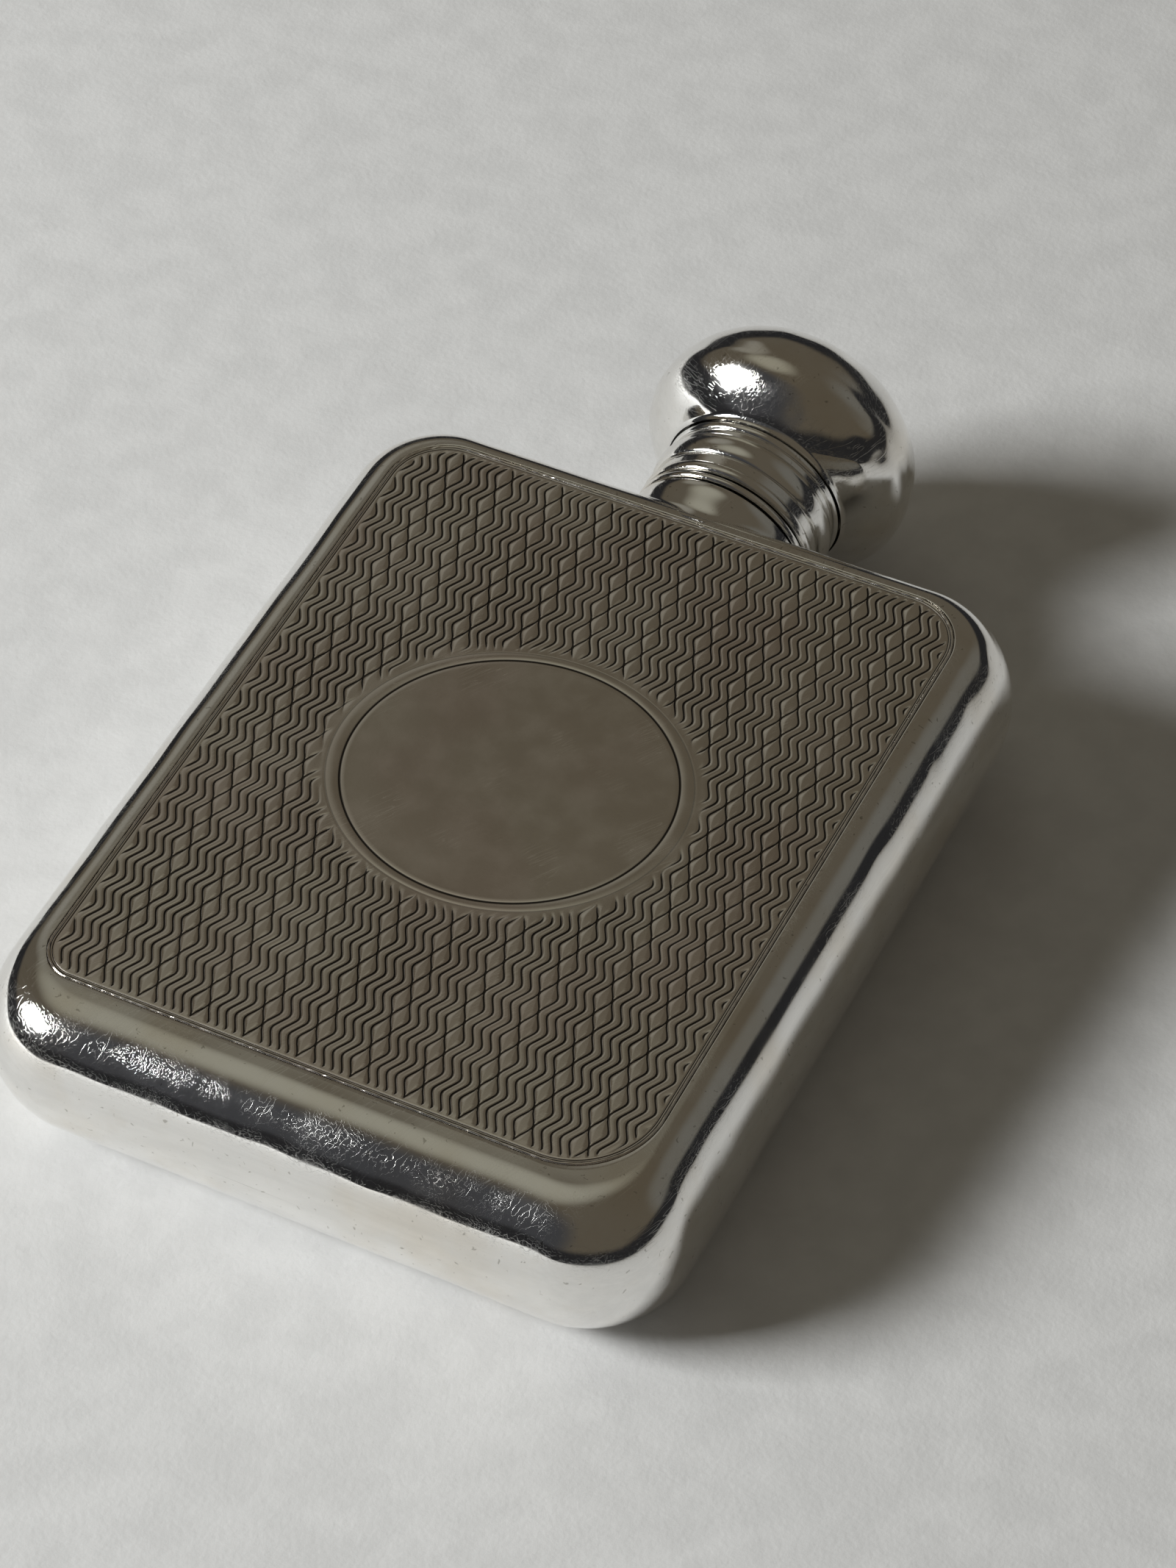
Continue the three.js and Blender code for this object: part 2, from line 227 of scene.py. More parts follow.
def polished_silver():
    """Mirror silver with wear: fine scratches, a little haze, dark specks and patchy tarnish."""
    material, tree, shader = new_material("polished_silver")
    shader.inputs["Metallic"].default_value = 1.0
    tarnish = tree.ramp(tree.noise((9, 9, 9), detail=5.0), 0.45, 0.75)
    bloom = tree.ramp(tree.noise((2.2, 2.2, 2.2), detail=4.0), 0.5, 0.8)
    clean = tree.mix(tarnish, (0.89, 0.88, 0.855, 1), (0.83, 0.79, 0.72, 1))
    bloomed = tree.mix(tree.math("MULTIPLY", bloom, 0.35), clean, (0.78, 0.74, 0.68, 1))
    specks = tree.ramp(tree.noise((0.5, 0.5, 0.5), detail=2.0, distortion=0.6), 0.68, 0.73)
    speckled = tree.mix(tree.math("MULTIPLY", specks, 0.55), bloomed, (0.30, 0.28, 0.24, 1))
    link(tree, speckled, shader, "Base Color")
    long_marks = tree.scratches(9, 0.5, (0, 12, 25), 0.62)
    cross_marks = tree.scratches(6, 0.35, (20, 0, -50), 0.58)
    swirls = tree.scratches(3, 0.25, (75, 30, 0), 0.54)
    marks = tree.math("MAXIMUM", long_marks, tree.math("MAXIMUM", cross_marks, swirls))
    haze = tree.ramp(tree.noise((4, 4, 4), detail=6.0), 0.35, 0.75, 0.035, 0.12)
    link(tree, tree.math("ADD", haze, tree.math("MULTIPLY", marks, 0.16)), shader, "Roughness")
    # The coat stands in for the soft glow that fine wear leaves round a highlight.
    shader.inputs["Coat Weight"].default_value = 0.16
    shader.inputs["Coat Roughness"].default_value = 0.24
    ripple = tree.noise((1.6, 1.6, 1.6), detail=2.0)
    depth = tree.math("SUBTRACT", tree.math("MULTIPLY", ripple, 0.6), marks)
    bump(tree, shader, depth, 0.22, 0.006)
    return material


def engraved_silver():
    """Engine-turned plate: bright lands, near-black cuts that are partly grime and partly painted
    shade, and a slight satin from wear.
    """
    material, tree, shader = new_material("engraved_silver")
    shader.inputs["Metallic"].default_value = 1.0
    cut = tree.add("Attribute", attribute_name="cut").outputs["Fac"]
    patch = tree.ramp(tree.noise((12, 12, 12), detail=4.0), 0.4, 0.65)
    land = tree.mix(patch, (0.85, 0.81, 0.75, 1), (0.80, 0.73, 0.68, 1))
    # The cuts are painted near black: partly grime, partly painted shade standing in for the
    # grooves' own shadow.
    grime_and_painted_shade = tree.ramp(cut, 0.05, 0.5)
    link(tree, tree.mix(grime_and_painted_shade, land, (0.035, 0.03, 0.024, 1)), shader, "Base Color")
    marks = tree.scratches(5, 0.3, (0, 0, 35), 0.5)
    satin = tree.ramp(tree.noise((3, 3, 3), detail=6.0), 0.3, 0.8, 0.10, 0.2)
    worn = tree.math("ADD", satin, tree.math("MULTIPLY", marks, 0.12))
    link(tree, tree.math("ADD", worn, tree.math("MULTIPLY", grime_and_painted_shade, 0.35)), shader, "Roughness")
    grain = tree.noise((0.25, 0.25, 0.25), detail=3.0)
    bump(tree, shader, tree.math("SUBTRACT", grain, marks), 0.3, 0.004)
    return material


def inner_silver():
    """Turned silver in the neck and the cap, with tool marks round the axis and a dull bloom."""
    material, tree, shader = new_material("inner_silver")
    shader.inputs["Metallic"].default_value = 1.0
    stain = tree.ramp(tree.noise((2.5, 2.5, 2.5), detail=5.0), 0.4, 0.75)
    link(tree, tree.mix(stain, (0.72, 0.70, 0.66, 1), (0.50, 0.46, 0.38, 1)), shader, "Base Color")
    rings = tree.noise((30, 0.09, 30), detail=3.0)
    link(tree, tree.ramp(rings, 0.2, 0.8, 0.22, 0.42), shader, "Roughness")
    bump(tree, shader, rings, 0.4, 0.01)
    return material


def natural_cork():
    """Pale cork with a fine grain and dark pits."""
    material, tree, shader = new_material("natural_cork")
    inputs = {"Vector": tree.place((0.55, 0.8, 0.55)), "Scale": 1.0}
    cells = tree.add("TexVoronoi", inputs).outputs["Distance"]
    grain = tree.noise((0.35, 0.35, 0.35), detail=5.0)
    pits = tree.ramp(tree.noise((0.9, 1.6, 0.9), detail=3.0), 0.60, 0.66)
    body = tree.mix(grain, (0.42, 0.26, 0.13, 1), (0.66, 0.46, 0.27, 1))
    pitted = tree.mix(tree.math("MULTIPLY", pits, 0.8), body, (0.13, 0.07, 0.035, 1))
    link(tree, pitted, shader, "Base Color")
    shader.inputs["Roughness"].default_value = 0.85
    relief = tree.math("SUBTRACT", tree.math("MULTIPLY", cells, 0.4), pits)
    bump(tree, shader, relief, 0.7, 0.12)
    return material


MATERIALS = {
    "polished_silver": polished_silver(),
    "engraved_silver": engraved_silver(),
    "inner_silver": inner_silver(),
    "cork": natural_cork(),
}

# ---- meshes ------------------------------------------------------------------------------------


def to_row(points):
    return np.asarray(points) * MM + ORIGIN


def finished(node, points, faces, slot, cuts=None, crease=35):
    """A smooth-shaded piece that stands for one CAD node and rides on that node's body.

    cuts says for each point how far it lies in an engraved cut, from 0 to 1, and crease is the
    angle in degrees above which an edge is drawn sharp.
    """
    mesh = bpy.data.meshes.new(node + "_surface")
    mesh.from_pydata(to_row(points).tolist(), [], faces)
    mesh.validate()
    mesh.shade_smooth()
    mesh.set_sharp_from_angle(angle=math.radians(crease))
    if cuts is not None:
        attribute = mesh.attributes.new("cut", "FLOAT", "POINT")
        attribute.data.foreach_set("value", np.asarray(cuts, np.float32))
    mesh.materials.append(MATERIALS[slot])
    piece = bpy.data.objects.new(node + "_finish", mesh)
    bpy.context.scene.collection.objects.link(piece)
    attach(piece, frame["nodes"][node]["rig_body"])
    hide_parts(node)
    return piece


def loft(loops, tube=False):
    """Faces of a stack of equal loops: closed end to end as a tube, or with flat ends."""
    count = len(loops[0])
    following = np.roll(np.arange(count), -1)
    levels = len(loops) if tube else len(loops) - 1
    faces = []
    for level in range(levels):
        here = level * count
        above = (level + 1) % len(loops) * count
        quads = [
            here + np.arange(count), here + following,
            above + following, above + np.arange(count),
        ]
        faces += np.column_stack(quads).tolist()
    if not tube:
        faces.append(np.arange(count)[::-1].tolist())
        faces.append(((len(loops) - 1) * count + np.arange(count)).tolist())
    return np.vstack(loops), faces


def circle(radius, y):
    """A loop round the neck axis. The radius and the height may change from point to point."""
    angles = np.linspace(0, 2 * np.pi, SEGMENTS, endpoint=False)
    heights = np.broadcast_to(y, SEGMENTS)
    return np.column_stack([radius * np.sin(angles), heights, radius * np.cos(angles)])


def turned(node, outline, slot):
    """A ring turned about the neck axis, from an outline of (radius, y) pairs."""
    points, faces = loft([circle(radius, y) for radius, y in outline], tube=True)
    return finished(node, points, faces, slot)


def pierced_disc(node, low, high, radius, edge, slot):
    """A disc with a hole for the rivet and bevelled edges."""
    hole = SHANK_RADIUS + GAP
    outline = [
        (hole, low), (radius - edge, low), (radius, low + edge),
        (radius, high - edge), (radius - edge, high), (hole, high),
    ]
    return turned(node, outline, slot)


def eased(value, low, high):
    share = np.clip((value - low) / (high - low), 0, 1)
    return share * share * (3 - 2 * share)


def rippled(points, size, amount):
    """How far hand polishing leaves each point in or out: smooth noise of one size, in mm."""
    return np.array([noise.noise(Vector(point / size)) for point in points]) * amount


def dented(points, dents):
    """How far knocks push each point in, from a list of places, radii and depths."""
    total = np.zeros(len(points))
    for place, radius, depth in dents:
        away = np.linalg.norm(points - np.array(place), axis=1) / radius
        total += depth * np.exp(-(away**2))
    return total


def outward(points, faces):
    """Unit normals of a smooth mesh at its points."""
    mesh = bpy.data.meshes.new("normals")
    mesh.from_pydata(points.tolist(), [], faces)
    normals = np.empty(len(points) * 3)
    mesh.vertices.foreach_get("normal", normals)
    bpy.data.meshes.remove(mesh)
    return normals.reshape(-1, 3)


# ---- body --------------------------------------------------------------------------------------

# A rounded rectangle is eight numbers: its right, top, left and base, then its corner radii.
GROW = np.array([1, 1, -1, -1, 1, 1, 1, 1])
PANEL_BOX = np.array([PANEL_RIGHT, PANEL_TOP, PANEL_LEFT, PANEL_BASE, *PANEL_CORNERS])
FLAT_BOX = np.array([
    PANEL_RIGHT + FLAT_SIDE, PANEL_TOP + FLAT_SIDE, PANEL_LEFT - FLAT_SIDE, PANEL_BASE - FLAT_BASE,
    *FLAT_CORNERS,
])
BODY_BOX = np.array([HALF_WIDTH, HALF_HEIGHT, -HALF_WIDTH, -HALF_HEIGHT, *BODY_CORNERS])

BODY_POINTS = (22, 56, 68)  # in each corner, across the flask and along it
FRAME_POINTS = (36, 180, 220)
ROLL_LEVELS = 44
INNER_ROLL_LEVELS = 8
SHOULDER_LOW = 34  # below this the neck's seat leaves the body as it is
NECK_SEAT = 8.5  # radius of the smooth seat that the collar stands on


def outline_at(box, z, counts=BODY_POINTS):
    """Points round a rounded rectangle, anticlockwise from its top right corner."""
    arc, across, along = counts
    right, top, left, base, *radii = box
    signs = ((1, 1), (-1, 1), (-1, -1), (1, -1))
    arcs = []
    for corner, ((sx, sy), radius) in enumerate(zip(signs, radii)):
        outer = np.array([right if sx > 0 else left, top if sy > 0 else base])
        centre = outer - radius * np.array([sx, sy])
        angles = np.pi / 2 * (corner + np.linspace(0, 1, arc))
        arcs.append(centre + radius * np.column_stack([np.cos(angles), np.sin(angles)]))
    rows = []
    for corner, run in enumerate(arcs):
        count = along if corner % 2 else across
        shares = np.linspace(0, 1, count + 2)[1:-1, None]
        start, end = run[-1], arcs[(corner + 1) % 4][0]
        rows += [run, start + (end - start) * shares]
    flat = np.vstack(rows)
    return np.column_stack([flat, np.full(len(flat), z)])


def rolled_side(widest, height, seam, levels):
    """The rolled edge, a quarter ellipse in section, from the seam up to the flat face."""
    seam_angle = math.asin(seam / height)
    angles = seam_angle + (np.pi / 2 - seam_angle) * eased(np.linspace(0, 1, levels), 0, 1)
    return [
        outline_at(FLAT_BOX + (widest - FLAT_BOX) * math.cos(angle), height * math.sin(angle))
        for angle in angles
    ]


# Knocks in the rolled edge, all on the front half: place, radius and depth.
DENTS = (
    ((-3.9, -37.0, 6.1), 0.7, 0.05),
    ((-3.0, -37.9, 3.5), 2.6, 0.06),
    ((7.5, -36.8, 5.8), 0.9, 0.04),
    ((19.0, -37.6, 4.2), 2.0, 0.06),
    ((27.5, -33.0, 5.0), 1.8, 0.10),
    ((29.7, -29.0, 6.5), 0.9, 0.07),
    ((28.5, -34.4, 6.2), 0.8, 0.08),
    ((30.0, 33.0, 5.5), 1.2, 0.10),
    ((30.6, 27.0, 5.5), 1.0, 0.08),
    ((30.4, 20.0, 5.8), 0.9, 0.06),
    ((-30.2, -30.5, 6.0), 0.8, 0.08),
    ((30.6, -22.0, 4.4), 2.4, 0.08),
    ((30.2, 9.0, 4.8), 2.0, 0.06),
    ((-28.0, -33.5, 5.0), 1.6, 0.08),
)


def worn_in(points, normals):
    """The rolled edge with dents and a ripple, which fades out at the joint, panel and neck."""
    x, y, z = points.T
    ripple = rippled(points, 7.0, 0.06) + rippled(points + 40, 2.6, 0.015)
    from_joint = np.abs(z)
    beyond_sides = np.abs(x) - PANEL_RIGHT
    beyond_ends = np.abs(y - (PANEL_TOP + PANEL_BASE) / 2) - (PANEL_TOP - PANEL_BASE) / 2
    from_panel = np.maximum(beyond_sides, beyond_ends)
    below_shoulder = np.maximum(0, SHOULDER_LOW - y)
    from_neck = np.hypot(x, z) + 2 * below_shoulder
    ripple *= eased(from_joint, 0.1, 1.6)
    ripple *= eased(from_panel, 0.2, 2.2)
    ripple *= eased(from_neck, NECK_SEAT, NECK_SEAT + 2.5)
    return points + normals * (ripple - dented(points, DENTS))[:, None]


def turned_over(points):
    """The back half is the front half turned over about the neck axis."""
    return points * np.array([-1, 1, -1])


def neck_cutter():
    """A plain drum that opens the shoulder for the neck tube."""
    radius = TUBE_RADIUS + GAP
    reach = 2
    ends = [circle(radius, HALF_HEIGHT - reach), circle(radius, HALF_HEIGHT + reach)]
    points, faces = loft(ends)
    mesh = bpy.data.meshes.new("neck_cutter")
    mesh.from_pydata(to_row(points).tolist(), [], faces)
    cutter = bpy.data.objects.new("neck_cutter", mesh)
    bpy.context.scene.collection.objects.link(cutter)
    return cutter


def cut_away(piece, cutter):
    """Takes the cutter's volume out of a piece."""
    modifier = piece.modifiers.new("opening", "BOOLEAN")
    modifier.operation = "DIFFERENCE"
    modifier.solver = "EXACT"
    modifier.object = cutter
    graph = bpy.context.evaluated_depsgraph_get()
    opened = bpy.data.meshes.new_from_object(piece.evaluated_get(graph))
    piece.modifiers.clear()
    piece.data = opened


def half_shell(node, over):
    """A tray with a rolled rim and a recess for its plate."""
    recess = PANEL_BOX + GROW * 0.05
    recess_floor = HALF_THICKNESS - PLATE - 0.25
    lip_box = recess + GROW * 0.06
    outside = rolled_side(BODY_BOX, HALF_THICKNESS, HALF_HAIRLINE, ROLL_LEVELS)
    margin = [
        outline_at(FLAT_BOX + (lip_box - FLAT_BOX) * share, HALF_THICKNESS)
        for share in (0.25, 0.5, 0.75)
    ]
    lip = [
        outline_at(lip_box, HALF_THICKNESS),
        outline_at(recess + GROW * 0.015, HALF_THICKNESS - 0.02),
        outline_at(recess, HALF_THICKNESS - 0.08),
        outline_at(recess, recess_floor),
    ]
    inner_height = recess_floor - WALL
    inner_box = BODY_BOX - GROW * WALL
    inside = rolled_side(inner_box, inner_height, HALF_HAIRLINE, INNER_ROLL_LEVELS)[::-1]
    points, faces = loft([*inside, *outside, *margin, *lip])
    if over:
        points = turned_over(points)
    count = len(inside[0])
    first = len(inside) * count
    last = first + (len(outside) + len(margin)) * count
    normals = outward(points, faces)
    points[first:last] = worn_in(points[first:last], normals[first:last])
    return finished(node, points, faces, "polished_silver", crease=40)


# ---- engine-turned plates ----------------------------------------------------------------------

LINE_PITCH = (PANEL_RIGHT - PANEL_LEFT) * 0.01515
CROSSING_LINE = (PANEL_RIGHT - PANEL_LEFT) * -0.404  # one of the lines that run against the others
LINES_PER_GROUP = 6  # one line in six does so, and draws a column of diamonds
WAVE_LENGTH = (PANEL_TOP - PANEL_BASE) / 19.3
WAVE_REACH = 0.4
WAVE_CORNER = 0.86  # 1 makes a sharp zigzag
CUT_HALF_WIDTH = 0.14
CUT_DEPTH = 0.085
LIP_HEIGHT = 0.006  # of the metal raised along a cut
LAND_RISE = 0.016  # of the metal left between two cuts
ROWS_PER_WAVE = 14

CARTOUCHE_CENTRE = np.array([-0.64, 2.4])
CARTOUCHE = np.array([14.54, 13.0])  # the engraved oval line
CARTOUCHE_BAND = np.array([16.2, 14.0])  # where the engine turning has faded out
CARTOUCHE_EDGE = CARTOUCHE_BAND * 0.995  # where the cartouche's own surface begins
CARTOUCHE_POINTS = 240
FRAME_LINE = 0.46  # the line engraved inside the border
FIELD_INSET = 0.62  # where the engine turning begins


def wave(y):
    """A rounded zigzag along the flask, from -1 to 1."""
    swing = np.sin(2 * np.pi * (y - PANEL_BASE) / WAVE_LENGTH)
    return np.arcsin(WAVE_CORNER * swing) / math.asin(WAVE_CORNER)


def inside_box(box, x, y):
    """How far a point is inside a rounded rectangle, in mm, negative outside."""
    right, top, left, base, *radii = box
    upper, east = y > (top + base) / 2, x > (left + right) / 2
    radius = np.select([upper & east, upper & ~east, ~upper & ~east], radii[:3], radii[3])
    dx = np.abs(x - (left + right) / 2) - (right - left) / 2 + radius
    dy = np.abs(y - (top + base) / 2) - (top - base) / 2 + radius
    corner = np.hypot(np.maximum(dx, 0), np.maximum(dy, 0)) + np.minimum(np.maximum(dx, dy), 0)
    return radius - corner


def beyond_oval(oval, x, y):
    """1 on an oval round the cartouche's centre, more outside it."""
    return np.hypot((x - CARTOUCHE_CENTRE[0]) / oval[0], (y - CARTOUCHE_CENTRE[1]) / oval[1])


def cut_field():
    """The engine turning as a grid whose columns follow the cuts: x, y, z and cut of each."""
    first = math.floor((PANEL_LEFT - CROSSING_LINE) / LINE_PITCH) - 1
    last = math.ceil((PANEL_RIGHT - CROSSING_LINE) / LINE_PITCH) + 1
    line = np.arange(first, last + 1)
    side = np.where(line % LINES_PER_GROUP == 0, -1, 1)
    rows = int((PANEL_TOP - PANEL_BASE) / WAVE_LENGTH * ROWS_PER_WAVE) + 1
    y = np.linspace(PANEL_BASE, PANEL_TOP, rows)[:, None]
    cuts = CROSSING_LINE + line * LINE_PITCH + side * WAVE_REACH * wave(y)
    here, gap = cuts[:, :-1], np.diff(cuts, axis=1)
    flank = np.minimum(CUT_HALF_WIDTH, 0.3 * gap)
    meeting = 1 - eased(gap, 0.04, 0.2)  # where two lines meet, the strip between them is cut away
    lip = LIP_HEIGHT - (LIP_HEIGHT + CUT_DEPTH) * meeting
    land = LAND_RISE - (LAND_RISE + CUT_DEPTH) * meeting
    zero = np.zeros_like(gap)
    strips = (  # x, z and cut of each column from one line to the next
        (here, zero - CUT_DEPTH, zero + 1),
        (here + flank, lip, meeting),
        (here + 0.36 * gap, land, meeting),
        (here + 0.64 * gap, land, meeting),
        (here + gap - flank, lip, meeting),
    )
    x, height, cut = (np.stack(part, axis=-1).reshape(rows, -1) for part in zip(*strips))
    y = np.broadcast_to(y, x.shape)
    depth = eased(inside_box(PANEL_BOX, x, y), FIELD_INSET + 0.03, FIELD_INSET + 0.4)
    depth = depth * eased(beyond_oval(CARTOUCHE_BAND, x, y), 1.0, 1.07)
    unevenness = 0.85 + 0.3 * np.sin(x * 0.31 + 1.7) * np.sin(y * 0.23)
    field = np.stack([x, y, HALF_THICKNESS + height * depth * unevenness, cut * depth], axis=-1)
    return field.reshape(-1, 4), x.shape


def grid_triangles(shape):
    """Two triangles for each cell of a grid of points."""
    rows, columns = shape
    corner = (np.arange(rows - 1)[:, None] * columns + np.arange(columns - 1)).ravel()
    a, b, c, d = corner, corner + 1, corner + columns + 1, corner + columns
    return np.vstack([np.column_stack([a, b, c]), np.column_stack([a, c, d])])


def clipped(points, triangles, keep):
    """The part of a surface where keep(x, y) is positive, cut along the line where it is zero."""
    value = keep(points[:, 0], points[:, 1])
    inside = value[triangles] > 0
    count = inside.sum(axis=1)
    faces = triangles[count == 3].tolist()
    extra, known = [], {}

    def crossing(a, b):
        key = (min(a, b), max(a, b))
        if key not in known:
            share = value[a] / (value[a] - value[b])
            known[key] = len(points) + len(extra)
            extra.append(points[a] + (points[b] - points[a]) * share)
        return known[key]

    partly = (count > 0) & (count < 3)
    for corners, kept in zip(triangles[partly], inside[partly]):
        face = []
        for i in range(3):
            a, b = int(corners[i]), int(corners[(i + 1) % 3])
            if kept[i]:
                face.append(a)
            if kept[i] != kept[(i + 1) % 3]:
                face.append(crossing(a, b))
        faces.append(face)
    return np.vstack([points, extra]) if extra else points, faces


def joined(parts):
    """Several surfaces as one, without the points that no face uses."""
    points, faces = [], []
    total = 0
    for part_points, part_faces in parts:
        used = np.zeros(len(part_points), bool)
        for size in {len(face) for face in part_faces}:
            used[np.array([face for face in part_faces if len(face) == size]).ravel()] = True
        place = np.cumsum(used) - 1 + total
        faces += [place[face].tolist() for face in part_faces]
        points.append(part_points[used])
        total += int(used.sum())
    return np.vstack(points), faces


def with_cut(loop, cut):
    """A loop of points with a fourth number: how far they lie in an engraved cut."""
    return np.column_stack([loop, np.full(len(loop), cut)])


def cartouche():
    """The plain oval and the line engraved round it, as rings from the fading cuts inward."""
    angles = np.linspace(0, 2 * np.pi, CARTOUCHE_POINTS, endpoint=False)
    band = (  # share of the way from the edge to the line, cut, rise
        (0.0, 0, 0.0), (0.10, 0, 0.0), (0.2, 0.3, -0.010), (0.3, 0, 0.004), (0.6, 0, 0.010),
    )
    line = (  # inset from the middle of the line, cut, rise
        (-0.2, 0, 0.008), (-0.09, 0.3, -0.012), (-0.03, 0.8, -0.035), (0.04, 0.8, -0.035),
        (0.11, 0.2, -0.008), (0.22, 0, 0.006), (0.5, 0, 0.003), (1.0, 0, 0.0),
    )
    inward = CARTOUCHE + 0.22 - CARTOUCHE_EDGE
    rings = [(CARTOUCHE_EDGE + inward * share, cut, rise) for share, cut, rise in band]
    rings += [(CARTOUCHE - inset, cut, rise) for inset, cut, rise in line]
    rings += [(CARTOUCHE * scale, 0, 0.0) for scale in (0.85, 0.65, 0.45, 0.25, 0.1)]
    loops = []
    for (a, b), cut, rise in rings:
        x = CARTOUCHE_CENTRE[0] + a * np.cos(angles)
        y = CARTOUCHE_CENTRE[1] + b * np.sin(angles)
        ring = np.column_stack([x, y, np.full(len(x), HALF_THICKNESS + rise)])
        loops.append(with_cut(ring, cut))
    points, faces = loft(loops)
    faces.pop(-2)  # the open side, where the engine-turned field meets it
    return points, faces


def plate_frame():
    """The plate's edge: its back, a rounded bead round the border and the line inside it."""
    back = ((0.04, -PLATE, 0), (0.0, -PLATE + 0.04, 0), (0.0, -0.06, 0))  # inset, rise, cut
    bead = ((0.03, 0.035, 0), (0.09, 0.085, 0), (0.16, 0.09, 0), (0.24, 0.04, 0))
    foot = ((0.29, -0.01, 0.7), (0.34, 0.0, 0))
    line = ((FRAME_LINE - 0.05, 0.0, 0), (FRAME_LINE, -0.05, 1), (FRAME_LINE + 0.05, 0.0, 0))
    loops = []
    for inset, rise, cut in (*back, *bead, *foot, *line, (FIELD_INSET, 0.0, 0)):
        loop = outline_at(PANEL_BOX - GROW * inset, HALF_THICKNESS + rise, FRAME_POINTS)
        if rise > 0:
            loop[:, 2] += rippled(loop, 0.5, 0.075)  # the bead is uneven, so it glints
        loops.append(with_cut(loop, cut))
    points, faces = loft(loops)
    faces.pop()  # the field and the cartouche fill this side
    return points, faces


def engine_turned_plate(node, over):
    """The engine turning, clipped to the border and the oval, with its frame and its cartouche."""
    field, shape = cut_field()
    inner = PANEL_BOX - GROW * FIELD_INSET
    points, faces = clipped(field, grid_triangles(shape), lambda x, y: inside_box(inner, x, y))
    other_halves = [[face[0], face[2], face[3]] for face in faces if len(face) == 4]
    triangles = np.array([face[:3] for face in faces] + other_halves)
    cut_out = clipped(points, triangles, lambda x, y: beyond_oval(CARTOUCHE_EDGE, x, y) - 1)
    points, faces = joined([cut_out, cartouche(), plate_frame()])
    place, cuts = points[:, :3], points[:, 3]
    if over:
        place = turned_over(place)
    return finished(node, place, faces, "engraved_silver", cuts=cuts, crease=60)


# ---- neck --------------------------------------------------------------------------------------


def shoulder_height(z):
    """The height of the body's shoulder above or below half thickness."""
    start = FLAT_BOX[1]
    return start + (HALF_HEIGHT - start) * np.sqrt(np.maximum(0, 1 - (z / HALF_THICKNESS) ** 2))


def collar_radius(y, foot):
    """The collar flares out towards the ring, and a little at its soldered foot."""
    flare = eased(y, HALF_HEIGHT - 2.2, COLLAR_TOP - 0.35)
    fillet = 0.22 * np.exp(-(y - foot) / 0.22)
    return COLLAR_WAIST + (COLLAR_RADIUS - COLLAR_WAIST) * flare + fillet


def neck_collar():
    """A short collar whose foot is fitted to the rounded shoulder."""
    forward = circle(1, 0)[:, 2]
    foot = shoulder_height((COLLAR_WAIST + 0.2) * forward) - 0.03
    inner = TUBE_RADIUS + GAP
    inner_foot = shoulder_height(inner * forward) + 0.05
    rim = ((0.0, 0.16), (0.02, 0.08), (0.08, 0.02), (0.16, 0))  # how far in and how far down
    shares = np.concatenate([np.linspace(0, 0.3, 8), np.linspace(0.36, 0.94, 14)])
    heights = [foot + (COLLAR_TOP - foot) * share for share in shares]
    loops = [circle(collar_radius(y, foot), y) for y in heights]
    loops += [circle(COLLAR_RADIUS - inward, COLLAR_TOP - drop) for inward, drop in rim]
    loops += [circle(inner, COLLAR_TOP), circle(inner, inner_foot)]
    points, faces = loft(loops, tube=True)
    return finished("neck_collar", points, faces, "polished_silver")


def rounded_band(low, high, groove, radius, steps=12):
    """A bead's half-round back, from low to high, as (radius, y) pairs."""
    middle, half = (low + high) / 2, (high - low) / 2
    return [
        (groove + (radius - groove) * math.cos(angle), middle + half * math.sin(angle))
        for angle in np.linspace(-np.pi / 2, np.pi / 2, steps)
    ]


def neck_ring():
    inner = TUBE_RADIUS + GAP
    side = RING_RADIUS - 0.3
    band = rounded_band(RING_LOW, RING_HIGH, side, RING_RADIUS)
    return turned("neck_ring", [(inner, RING_LOW), *band, (inner, RING_HIGH)], "polished_silver")


def thread_share(y, angle, start):
    """How far the thread stands out of its wall, from 0 to 1. It runs out in a sixth of a turn."""
    turns_up = angle / (2 * np.pi)
    turn = np.round((y - start) / PITCH - turns_up) + turns_up
    off_centre = np.abs(y - start - turn * PITCH)
    flank = (THREAD_ROOT / 2 - off_centre) / (THREAD_ROOT / 2 - THREAD_CREST / 2)
    run_out = 6 * np.minimum(turn, THREAD_TURNS - turn)
    return eased(np.minimum(flank, run_out), 0, 1)


def threaded_wall(low, high, start, plain, crest):
    """Loops up a wall of one radius, with a thread that reaches to another."""
    angles = np.linspace(0, 2 * np.pi, SEGMENTS, endpoint=False)
    half_root = THREAD_ROOT / 2
    run = np.arange(start - half_root, start + THREAD_TURNS * PITCH + half_root, THREAD_STEP)
    return [
        circle(plain + (crest - plain) * thread_share(y, angles, start), y)
        for y in (low, *run, high)
    ]


def neck_tube():
    """The neck itself, threaded outside, with a rounded lip at the mouth."""
    lip = 0.25
    crest = TUBE_RADIUS + THREAD_HEIGHT
    outside = threaded_wall(TUBE_FOOT, MOUTH - lip, THREAD_START, TUBE_RADIUS, crest)
    over, into = [], []
    for angle in np.linspace(0, np.pi / 2, 6)[1:]:
        inward = lip * (1 - math.cos(angle))
        y = MOUTH - lip * (1 - math.sin(angle))
        over.append(circle(TUBE_RADIUS - inward, y))
        into.append(circle(BORE_RADIUS + inward, y))
    bore = [circle(BORE_RADIUS, MOUTH - lip), circle(BORE_RADIUS, TUBE_FOOT)]
    points, faces = loft([*outside, *over, *into[::-1], *bore], tube=True)
    return finished("neck_tube", points, faces, "inner_silver")


# ---- screw cap ---------------------------------------------------------------------------------

